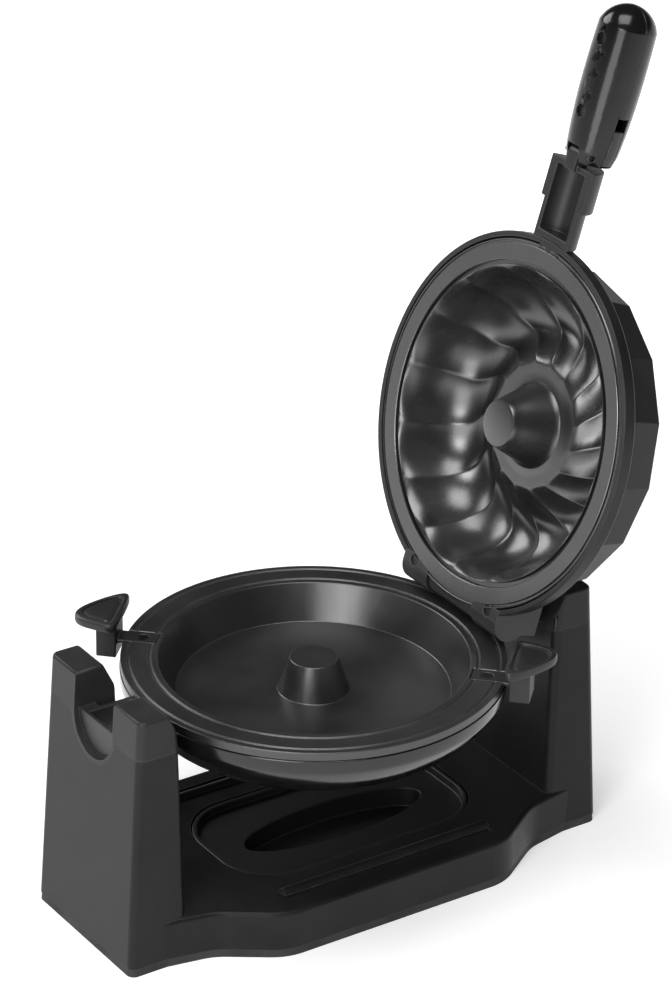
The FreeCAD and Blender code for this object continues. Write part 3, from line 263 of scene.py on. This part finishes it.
# On the steel, the bright colours and the zinc on blacked steel are painted highlights on rounded edges
plated_steel = moulded("plated_steel", SCREW_DULL, SCREW_ZINC, SCREW_BRIGHT, roughness=0.35,
                       grain_scale=2200, grain_depth=0.00003, mottle=300, Metallic=1.0)
blacked_steel = moulded("blacked_steel", PIN_STEEL, PIN_BRIGHT, SCREW_ZINC, roughness=0.4,
                        grain_scale=2200, grain_depth=0.00003, mottle=300, Metallic=1.0)
dress(plated_steel, "base_screws", "cap_screws", "plate_screws", "mold_screws")
dress(blacked_steel, "ear_screws", "hinge_screws", "bracket_screws", "grip_screws", "hinge_pin", "fold_pin")


# A cap closes each tower round the slot for the journal, in the same plastic with a finer grain.
# The saddles under the journals are a slick bearing plastic, pressed into the slots.
CAP_BLACK = (0.021, 0.0195, 0.0205, 1)
CAP_PALE = (0.030, 0.028, 0.029, 1)
# The third cap colour is a painted highlight for rounded edges, also on the saddles
CAP_EDGE_HIGHLIGHT = (0.18, 0.172, 0.178, 1)
CAP_EASE = 0.0018
CAP_EASED_ABOVE = 0.1525

cap_grain = moulded("cap_grain", CAP_BLACK, CAP_PALE, CAP_EDGE_HIGHLIGHT, roughness=0.42,
                    grain_scale=1900, grain_depth=0.00008, Specular_IOR_Level=0.22)
saddle_slick = moulded("saddle_slick", STAND_BLACK, STAND_PALE, CAP_EDGE_HIGHLIGHT, roughness=0.38,
                       grain_scale=1200, grain_depth=0.00003)
for cap_node in ("front_cap", "rear_cap"):
    eased(cap_node, "base", CAP_EASE, cap_grain, above=CAP_EASED_ABOVE)
dress(saddle_slick, "front_saddle", "rear_saddle")


# The drip tray lies loose in the deck, a shallow moulding with an oval well in its middle.
# Its grain is finer than the stand's, so the well shows a soft shine.
TRAY_BLACK = (0.013, 0.012, 0.013, 1)
TRAY_EASE = 0.0009

tray_satin = moulded("tray_satin", TRAY_BLACK, STAND_BLACK, STAND_EDGE_HIGHLIGHT, roughness=0.42,
                     grain_scale=1500, grain_depth=0.00006)
eased("drip_tray", "tray", TRAY_EASE, tray_satin)


# The pan is a deep-drawn bowl in glossy black enamel, with the journal in front and the hub behind.
# The element, its reflector and the thermostat are inside it, under the plate.
GLOSS_BLACK = (0.004, 0.004, 0.0043, 1)
GLOSS_PALE = (0.008, 0.008, 0.0085, 1)
# The third gloss colour is a painted highlight for the rounded edges of bowl and grip
GLOSS_EDGE_HIGHLIGHT = (0.045, 0.044, 0.046, 1)
BRASS = (0.55, 0.40, 0.16, 1)
BRASS_DARK = (0.38, 0.27, 0.11, 1)
# The brightest brass and sheet colours are painted highlights on rounded edges
BRASS_BRIGHT = (0.75, 0.6, 0.3, 1)
SHEET_BRIGHT = (0.7, 0.7, 0.71, 1)
HUB_BLACK = (0.018, 0.018, 0.019, 1)
HUB_PALE = (0.03, 0.03, 0.031, 1)
BOWL_EASE = 0.0007

bowl_gloss = moulded("bowl_gloss", GLOSS_BLACK, GLOSS_PALE, GLOSS_EDGE_HIGHLIGHT, roughness=0.16,
                     grain_scale=260, grain_depth=0.00002, mottle=18, Coat_Weight=0.5,
                     Coat_Roughness=0.06, Specular_IOR_Level=0.35)
hub_coat = moulded("hub_coat", HUB_BLACK, HUB_PALE, STAND_EDGE_HIGHLIGHT, roughness=0.4,
                   grain_scale=1400, grain_depth=0.00006, Specular_IOR_Level=0.4)
element_sheath = moulded("element_sheath", SCREW_DULL, SCREW_ZINC, SCREW_BRIGHT, roughness=0.45,
                         grain_scale=900, grain_depth=0.00004, Metallic=1.0)
reflector_sheet = moulded("reflector_sheet", SCREW_ZINC, SCREW_BRIGHT, SHEET_BRIGHT, roughness=0.3,
                          grain_scale=400, grain_depth=0.00005, Metallic=1.0)
control_brass = moulded("control_brass", BRASS_DARK, BRASS, BRASS_BRIGHT, roughness=0.35,
                        grain_scale=700, grain_depth=0.00004, Metallic=1.0)
eased("lower_housing", "pan", BOWL_EASE, bowl_gloss)
for hub_node in ("front_journal", "hinge_hub"):
    eased(hub_node, "pan", BOWL_EASE, hub_coat)
dress(element_sheath, "lower_element", "lid_element")
dress(reflector_sheet, "lower_reflector", "lid_reflector")
dress(control_brass, "thermostat")


# The baking plate is cast aluminium with a dark non-stick coat, which is satin with fine flecks.
# It lifts out of the bowl, and has a ring dish round a boss in the middle.
COAT_GREY = (0.010, 0.0095, 0.010, 1)
COAT_PALE = (0.017, 0.016, 0.017, 1)
COAT_FLECK = (0.060, 0.057, 0.059, 1)
# The third coat colour is a painted highlight on rounded edges, weaker than on the plastics
COAT_EDGE_HIGHLIGHT = (0.16, 0.155, 0.16, 1)
COAT_EASE = 0.0006
FLECK_CONTRAST = 6.0
FLECK_SHARE = 0.2


def make_fleck_group():
    tree, given, result = shader_group("coat_flecks", {"Fleck Scale": 900, "Share": 0.3}, ("Fleck",))
    place = tree.nodes.new("ShaderNodeTexCoord")
    cells = tree.nodes.new("ShaderNodeTexVoronoi")
    tree.links.new(place.outputs["Object"], cells.inputs["Vector"])
    tree.links.new(given.outputs["Fleck Scale"], cells.inputs["Scale"])
    spot = math_node(tree, "SUBTRACT", given.outputs["Share"], cells.outputs["Distance"])
    tree.links.new(math_node(tree, "MULTIPLY", spot, FLECK_CONTRAST), result.inputs["Fleck"])
    return tree


coat_flecks = make_fleck_group()


def coated(name, roughness):
    material = moulded(name, COAT_GREY, COAT_PALE, COAT_EDGE_HIGHLIGHT, roughness, grain_scale=1700,
                       grain_depth=0.00006, edge_highlight=2.0, mottle=25, Specular_IOR_Level=1.0)
    tree = material.node_tree
    shader = tree.nodes["Principled BSDF"]
    plain = shader.inputs["Base Color"].links[0].from_socket
    flecks = group_node(tree, coat_flecks, Share=FLECK_SHARE)
    speckled = mix_colours(tree, flecks.outputs["Fleck"], plain, COAT_FLECK)
    tree.links.new(speckled, shader.inputs["Base Color"])
    return material


plate_coat = coated("plate_coat", roughness=0.34)
mold_coat = coated("mold_coat", roughness=0.27)
eased("baking_plate", "pan", COAT_EASE, plate_coat)


# Two leaf-shaped ears stand on arms at opposite sides of the bowl, to carry and turn it by.
# Each is a black moulding with a raised rim, a groove and a flat panel, screwed to its arm.
EAR_BLACK = (0.014, 0.0135, 0.014, 1)
EAR_PALE = (0.021, 0.020, 0.021, 1)
EAR_EASE = 0.0009
PAN_CENTRE = -8.0
EAR_TURNS = {"front_ear_grip": 135.0, "rear_ear_grip": -45.0}
# The leaf's outline before its corners are rounded, as millimetres out from the middle and across
LEAF_CORNERS = ((119.6, -22.0), (123.0, -26.0), (131.0, -20.0), (138.5, -11.5), (144.5, -3.5), (147.6, 3.0),
                (147.6, 9.5), (142.5, 15.0), (133.0, 18.0), (123.0, 20.2), (119.6, 17.5), (119.4, -2.0))
LEAF_HALF = 15.0
LEAF_CREASE = 35.0
CORNER_CUT = 0.25
# Each step from the underside to the panel is an inset and a height
LEAF_STEPS = ((2.0, 155.6), (0.4, 156.4), (0.0, 157.6), (0.0, 160.0), (0.5, 161.3), (1.5, 161.9),
              (3.0, 161.9), (3.6, 161.5), (3.9, 160.3), (5.2, 160.2), (5.6, 161.0), (6.4, 161.3),
              (8.5, 161.4))


def loft(name, loops, material, sharp):
    mesh = bpy.data.meshes.new(name)
    count = len(loops[0])
    points = [tuple(point) for loop in loops for point in loop]
    faces = [tuple(range(count - 1, -1, -1))]
    for row in range(len(loops) - 1):
        for i in range(count):
            j = (i + 1) % count
            faces.append((row * count + i, row * count + j, (row + 1) * count + j, (row + 1) * count + i))
    faces.append(tuple(range((len(loops) - 1) * count, len(loops) * count)))
    mesh.from_pydata(points, [], faces)
    work = bmesh.new()
    work.from_mesh(mesh)
    bmesh.ops.recalc_face_normals(work, faces=work.faces)
    work.to_mesh(mesh)
    work.free()
    mesh.shade_smooth()
    mesh.set_sharp_from_angle(angle=math.radians(sharp))
    mesh.materials.append(material)
    thing = bpy.data.objects.new(name, mesh)
    bpy.context.scene.collection.objects.link(thing)
    return thing


def rounded_outline(corners, cuts=3):
    points = [Vector(corner) for corner in corners]
    for _ in range(cuts):
        finer = []
        for here, following in zip(points, points[1:] + points[:1]):
            finer.append(here * (1.0 - CORNER_CUT) + following * CORNER_CUT)
            finer.append(here * CORNER_CUT + following * (1.0 - CORNER_CUT))
        points = finer
    return points


def inset(points, amount):
    centre = sum(points, Vector((0.0, 0.0))) / len(points)
    return [centre + (point - centre) * (1.0 - amount / LEAF_HALF) for point in points]


def make_leaf(node, turn):
    outline = rounded_outline(LEAF_CORNERS)
    spin = Matrix.Rotation(math.radians(turn), 3, "Z")
    loops = []
    for amount, height in LEAF_STEPS:
        ring = [spin @ Vector((point.x, point.y, height)) for point in inset(outline, amount)]
        loops.append([(ring_point + Vector((PAN_CENTRE, 0, 0))) * MM for ring_point in ring])
    leaf = loft(node.replace("grip", "leaf"), loops, ear_gloss, LEAF_CREASE)
    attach(leaf, "pan")
    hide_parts(node)


ear_gloss = moulded("ear_gloss", EAR_BLACK, EAR_PALE, STAND_EDGE_HIGHLIGHT, roughness=0.36,
                    grain_scale=900, grain_depth=0.00002, Specular_IOR_Level=0.45)
for arm_node in ("front_ear_arm", "rear_ear_arm"):
    eased(arm_node, "pan", EAR_EASE, ear_gloss)
for ear_node, ear_turn in EAR_TURNS.items():
    make_leaf(ear_node, ear_turn)


# The lid housing is a sixteen-sided dome with a round lip, moulded in black with a low shine.
# The mold, its element and a reflector are screwed into it from the open side.
LID_BLACK = (0.010, 0.010, 0.0105, 1)
LID_PALE = (0.017, 0.017, 0.018, 1)
LID_EASE = 0.0007
FACET_FOLD = 16.0

lid_gloss = moulded("lid_gloss", LID_BLACK, LID_PALE, STAND_EDGE_HIGHLIGHT, roughness=0.36,
                    grain_scale=700, grain_depth=0.00003, mottle=22, Specular_IOR_Level=0.3)
eased("lid_housing", "lid", LID_EASE, lid_gloss, sharp=FACET_FOLD)


# The mold is cast aluminium with the same coat, a deep ring with a post in its middle.
# Sixteen hollow flutes meet in rounded ridges that swirl from the rim down to a flat ring round the post.
RIM_HEIGHT = 146.2
HINGE_PLACE = Vector((103.0, 0.0, 159.0))
OPEN_ANGLE = math.radians(107.1)
LID_OPEN = (Matrix.Translation(HINGE_PLACE) @ Matrix.Rotation(OPEN_ANGLE, 4, "Y")
            @ Matrix.Translation(-HINGE_PLACE))
FLUTES = 16
FLUTE_HOLLOW = 2.3
CREST_FROM = 0.9
MOLD_CREASE = 28.0
# Room cut in the mold's edge for the hinge and for the foot of the handle, as two corners each
HINGE_ROOM = ((95.0, -50.3, 140.0), (140.0, 50.3, 172.0))
FOOT_ROOM = ((-130.0, -9.3, 140.0), (PAN_CENTRE - 103.8, 9.3, 160.0))
# Places across one flute from ridge to ridge, closest together on the rounded crests
ACROSS = (-1.0, -0.97, -0.935, -0.9, -0.84, -0.76, -0.64, -0.5, -0.34, -0.17,
          0.0, 0.17, 0.34, 0.5, 0.64, 0.76, 0.84, 0.9, 0.935, 0.97)
# Turn of the ridges in degrees at each radius, from the flat ring out to the mouth
SWIRL = ((40.0, -22.5), (43.0, -19.5), (46.0, -17.2), (50.0, -14.5), (55.0, -11.0), (60.0, -7.6),
         (64.0, -4.3), (70.0, -0.9), (76.0, 0.9), (84.0, 0.8), (96.6, 0.0))
FIRST_RIDGE = math.radians(-2.0)
# Each row is a radius, a depth below the rim and the height of the ridges there
POST_ROWS = ((0.3, 0.5, 0), (12.6, 0.5, 0), (14.2, 0.9, 0), (15.0, 1.9, 0), (15.5, 3.6, 0), (17.6, 8.5, 0),
             (20.0, 14, 0), (22.4, 19.5, 0), (24.6, 24.4, 0), (25.6, 26.3, 0), (26.8, 27.5, 0),
             (28.6, 28.0, 0), (33, 28.1, 0), (37.4, 28.1, 0))
FLUTE_ROWS = ((38.6, 28.2, 0.1), (40, 28.9, 0.7), (42.2, 30.4, 1.3), (45.2, 32.8, 1.7), (48.8, 35.8, 1.9),
              (52.6, 38.8, 2.0), (56.6, 41.2, 2.0), (61, 42.6, 2.0), (66, 42.2, 2.0), (71, 40.3, 1.9),
              (75.5, 37.6, 1.9), (79.4, 34.4, 1.9), (82.8, 30.8, 1.9), (85.6, 26.8, 1.9), (87.8, 22.6, 1.9),
              (89.5, 18.2, 1.9), (90.9, 13.8, 1.9), (92.2, 9.8, 1.8), (93.4, 6.6, 1.7), (94.6, 4.0, 1.5),
              (95.7, 2.1, 1.1), (96.6, 0.7, 0.5))
RIM_ROWS = ((97.0, 0.3, 0), (97.2, 0.7, 0), (97.4, 3.0, 0), (99.9, 3.0, 0), (100.2, 0.4, 0), (100.6, 0.05, 0),
            (105, 0.05, 0), (110.2, 0.05, 0), (110.5, 0.3, 0), (110.8, 1.4, 0), (111.8, 1.4, 0),
            (112.1, 0.5, 0), (112.5, 0.3, 0), (113.0, 0.9, 0), (113.3, 3.3, 0))
BACK_ROWS = ((112, 3.4, 0), (100.8, 3.5, 0), (99.0, 5.5, 0), (95.4, 11, 0), (91.6, 20.4, 0), (88.2, 28, 0),
             (83.4, 34, 0), (77.0, 39.6, 0), (69.6, 43, 0), (61.5, 44.6, 0), (55.5, 42.6, 0), (50, 38.6, 0),
             (46, 35.2, 0), (42, 32, 0), (38, 29.6, 0), (20, 29.4, 0), (0.3, 29.4, 0))


def on_lid(radius, angle, depth):
    closed = Vector((PAN_CENTRE - radius * math.cos(angle), radius * math.sin(angle), RIM_HEIGHT + depth))
    return (LID_OPEN @ closed) * MM


def swirl_at(radius):
    for (low, first), (high, second) in zip(SWIRL, SWIRL[1:]):
        if radius <= high:
            share = max((radius - low) / (high - low), 0.0)
            return math.radians(first + (second - first) * share)
    return 0.0


def crest(across):
    if across <= CREST_FROM:
        return across ** FLUTE_HOLLOW
    beyond = across - CREST_FROM
    climb = FLUTE_HOLLOW * CREST_FROM ** (FLUTE_HOLLOW - 1.0)
    return CREST_FROM ** FLUTE_HOLLOW + climb * beyond * (1.0 - beyond / (2.0 - 2.0 * CREST_FROM))


def mold_ring(row, slope, turn):
    radius, depth, ridge = row
    loop = []
    for flute in range(FLUTES):
        for across in ACROSS:
            raised = ridge * crest(abs(across))
            angle = FIRST_RIDGE + turn + 2 * math.pi * (flute + (across + 1.0) / 2.0) / FLUTES
            loop.append(on_lid(radius + raised * slope[0], angle, depth + raised * slope[1]))
    return loop


def mold_loops():
    rows = POST_ROWS + FLUTE_ROWS + RIM_ROWS + BACK_ROWS
    last_front = len(POST_ROWS) + len(FLUTE_ROWS)
    loops = []
    for k, row in enumerate(rows):
        before = rows[max(k - 1, 0)]
        after = rows[min(k + 1, len(rows) - 1)]
        run = Vector((after[0] - before[0], after[1] - before[1])).normalized()
        turn = swirl_at(row[0]) if k < last_front else 0.0
        loops.append(mold_ring(row, (run.y, -run.x), turn))
    return loops


def cut_away(thing, cutters, material):
    add_cuts(thing, cutters, "EXACT")
    mesh = settle(thing)
    mesh.materials.clear()
    mesh.materials.append(material)
    clear_away(cutters)
    mesh.shade_smooth()
    mesh.set_sharp_from_angle(angle=math.radians(MOLD_CREASE))


def block(name, low, high, place):
    mesh = bpy.data.meshes.new(name)
    work = bmesh.new()
    bmesh.ops.create_cube(work, size=1.0)
    for vertex in work.verts:
        corner = [(a + b) / 2 + c * (b - a) for a, b, c in zip(low, high, vertex.co)]
        vertex.co = (place @ Vector(corner)) * MM
    bmesh.ops.recalc_face_normals(work, faces=work.faces)
    work.to_mesh(mesh)
    work.free()
    thing = bpy.data.objects.new(name, mesh)
    bpy.context.scene.collection.objects.link(thing)
    return thing


mold = loft("mold_fluted", mold_loops(), mold_coat, MOLD_CREASE)
cut_away(mold, [
    block("hinge_room", *HINGE_ROOM, LID_OPEN),
    block("foot_room", *FOOT_ROOM, LID_OPEN),
], mold_coat)
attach(mold, "lid")
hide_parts("lid_mold")


# Two cheeks screwed to the lid's lip turn on the hinge pin through the hub.
# They are coated castings, so they are duller than the lid.
CHEEK_EASE = 0.0004

for cheek_node in ("near_hinge_cheek", "far_hinge_cheek"):
    eased(cheek_node, "lid", CHEEK_EASE, hub_coat)


# The handle bracket is a half tube screwed to the lip, with a collar round the folding pin.
# The grip is two half shells with a lock slide in its side, and three slanted marks in the lower shell.
BRACKET_EASE = 0.0008
GRIP_EASE = 0.0005
WEDGE_REACHES = (209.0, 222.0, 235.0)
WEDGE_HEIGHT = 138.7
WEDGE_SLANT = math.radians(18)
WEDGE_TWIST = math.radians(30)
WEDGE_ASIDE = -1.5
WEDGE_HALF = (5.5, 3.0, 2.2)

grip_gloss = moulded("grip_gloss", GLOSS_BLACK, GLOSS_PALE, GLOSS_EDGE_HIGHLIGHT, roughness=0.2,
                     grain_scale=500, grain_depth=0.00002, mottle=22, Coat_Weight=0.25,
                     Coat_Roughness=0.08, Specular_IOR_Level=0.25)
eased("handle_bracket", "lid", BRACKET_EASE, lid_gloss)
wedge_turn = Matrix.Rotation(WEDGE_SLANT, 4, "Y") @ Matrix.Rotation(WEDGE_TWIST, 4, "Z")
wedges = []
for reach in WEDGE_REACHES:
    wedge_spot = Matrix.Translation((PAN_CENTRE - reach, WEDGE_ASIDE, WEDGE_HEIGHT))
    wedge_place = LID_OPEN @ wedge_spot @ wedge_turn
    wedges.append(block("wedge", [-half for half in WEDGE_HALF], WEDGE_HALF, wedge_place))
eased("grip_lower", "handle", GRIP_EASE, grip_gloss, wedges)
eased("grip_upper", "handle", GRIP_EASE, grip_gloss)
eased("lock_slider", "lock", GRIP_EASE, hub_coat)


# The floor is a plain white sweep that keeps the soft shadow, under a surround that dims overhead.
# Four soft lamps light the part: high at the front left, tall at the left, above, and behind on the left.
FLOOR_REACH = 6.0
FLOOR_WHITE = (0.74, 0.74, 0.74, 1)
FLOOR_ROUGHNESS = 0.9
FLOOR_SHINE = 0.1
NEAR_GLOW, FAR_GLOW = 0.48, 1.0
GLOW_FROM, GLOW_TO = 0.35, 1.1
PAPER_WHITE = (1.0, 1.0, 1.0, 1)
SKY_LOW = (1.0, 1.0, 1.0, 1)
SKY_HIGH = (0.05, 0.05, 0.053, 1)
SKY_WHITE_TO, SKY_DIM_FROM = 0.0, 0.2
# Each lamp has a place, a point to aim at, a width, a height and a power in watts
LAMPS = {
    "front_lamp": ((-2.0, -1.3, 1.9), (0.05, 0, 0.22), 0.8, 0.8, 18),
    "side_lamp": ((-1.75, -1.25, 0.95), (0.1, 0, 0.4), 1.1, 2.0, 30),
    "top_lamp": ((-0.2, -0.2, 2.3), (0, 0, 0.15), 1.2, 1.2, 28),
    "rear_lamp": ((-0.6, 1.65, 1.55), (0.12, 0, 0.25), 1.3, 1.0, 22),
}


def backdrop_share(tree):
    path = tree.nodes.new("ShaderNodeLightPath")
    seen = math_node(tree, "ADD", path.outputs["Is Camera Ray"], path.outputs["Is Glossy Ray"])
    return math_node(tree, "ADD", seen, path.outputs["Is Transmission Ray"])


def make_floor():
    mesh = bpy.data.meshes.new("floor")
    corners = [(x * FLOOR_REACH, y * FLOOR_REACH, 0) for x, y in ((-1, -1), (1, -1), (1, 1), (-1, 1))]
    mesh.from_pydata(corners, [], [(0, 1, 2, 3)])
    floor = bpy.data.objects.new("floor", mesh)
    bpy.context.scene.collection.objects.link(floor)
    material = bpy.data.materials.new("white_sweep")
    material.use_nodes = True
    tree = material.node_tree
    shader = tree.nodes["Principled BSDF"]
    shader.inputs["Base Color"].default_value = FLOOR_WHITE
    shader.inputs["Roughness"].default_value = FLOOR_ROUGHNESS
    shader.inputs["Specular IOR Level"].default_value = FLOOR_SHINE
    shader.inputs["Emission Color"].default_value = PAPER_WHITE
    place = tree.nodes.new("ShaderNodeTexCoord")
    away = tree.nodes.new("ShaderNodeVectorMath")
    away.operation = "LENGTH"
    tree.links.new(place.outputs["Object"], away.inputs[0])
    glow = spread(tree, away.outputs["Value"], NEAR_GLOW, FAR_GLOW, GLOW_FROM, GLOW_TO)
    shown = math_node(tree, "MULTIPLY", backdrop_share(tree), glow)
    tree.links.new(shown, shader.inputs["Emission Strength"])
    mesh.materials.append(material)


def make_surround():
    world = bpy.data.worlds.new("white_surround")
    bpy.context.scene.world = world
    world.use_nodes = True
    tree = world.node_tree
    sky = tree.nodes["Background"]
    place = tree.nodes.new("ShaderNodeTexCoord")
    parts = tree.nodes.new("ShaderNodeSeparateXYZ")
    tree.links.new(place.outputs["Generated"], parts.inputs["Vector"])
    height = spread(tree, parts.outputs["Z"], 0, 1, SKY_WHITE_TO, SKY_DIM_FROM)
    graded = mix_colours(tree, height, SKY_LOW, SKY_HIGH)
    path = tree.nodes.new("ShaderNodeLightPath")
    shown = mix_colours(tree, path.outputs["Is Camera Ray"], graded, PAPER_WHITE)
    tree.links.new(shown, sky.inputs["Color"])
    sky.inputs["Strength"].default_value = 1.0


def soft_lamp(name, place, aim, width, height, power):
    lamp = bpy.data.lights.new(name, "AREA")
    lamp.shape = "RECTANGLE"
    lamp.size = width
    lamp.size_y = height
    lamp.energy = power
    thing = bpy.data.objects.new(name, lamp)
    thing.location = place
    thing.rotation_euler = (Vector(aim) - Vector(place)).to_track_quat("-Z", "Y").to_euler()
    bpy.context.scene.collection.objects.link(thing)


make_floor()
make_surround()
for lamp_name, lamp_values in LAMPS.items():
    soft_lamp(lamp_name, *lamp_values)


# The camera stands a little above the part, to the left of its front.
# Its place is given by the point it looks at, two angles, a slight roll and the distance.
CAMERA_AIM = Vector((0.00609, -0.00002, 0.24775))
CAMERA_TURN = math.radians(-34.05)
CAMERA_HEIGHT = math.radians(26.86)
CAMERA_ROLL = math.radians(0.99)
CAMERA_DISTANCE = 2.58372
CAMERA_LENS = 155.77
SENSOR_HEIGHT = 36


def make_camera():
    level = math.cos(CAMERA_HEIGHT)
    back = Vector((math.sin(CAMERA_TURN) * level, -math.cos(CAMERA_TURN) * level,
                   math.sin(CAMERA_HEIGHT)))
    right = Vector((0, 0, 1)).cross(back).normalized()
    up = back.cross(right)
    turned_right = right * math.cos(CAMERA_ROLL) + up * math.sin(CAMERA_ROLL)
    turned_up = up * math.cos(CAMERA_ROLL) - right * math.sin(CAMERA_ROLL)
    lens = bpy.data.cameras.new("camera")
    lens.sensor_fit = "VERTICAL"
    lens.sensor_height = SENSOR_HEIGHT
    lens.lens = CAMERA_LENS
    camera = bpy.data.objects.new("camera", lens)
    axes = Matrix((turned_right, turned_up, back)).transposed().to_4x4()
    camera.matrix_world = Matrix.Translation(CAMERA_AIM + back * CAMERA_DISTANCE) @ axes
    bpy.context.scene.collection.objects.link(camera)
    bpy.context.scene.camera = camera


make_camera()
bpy.context.scene.view_settings.view_transform = "Standard"
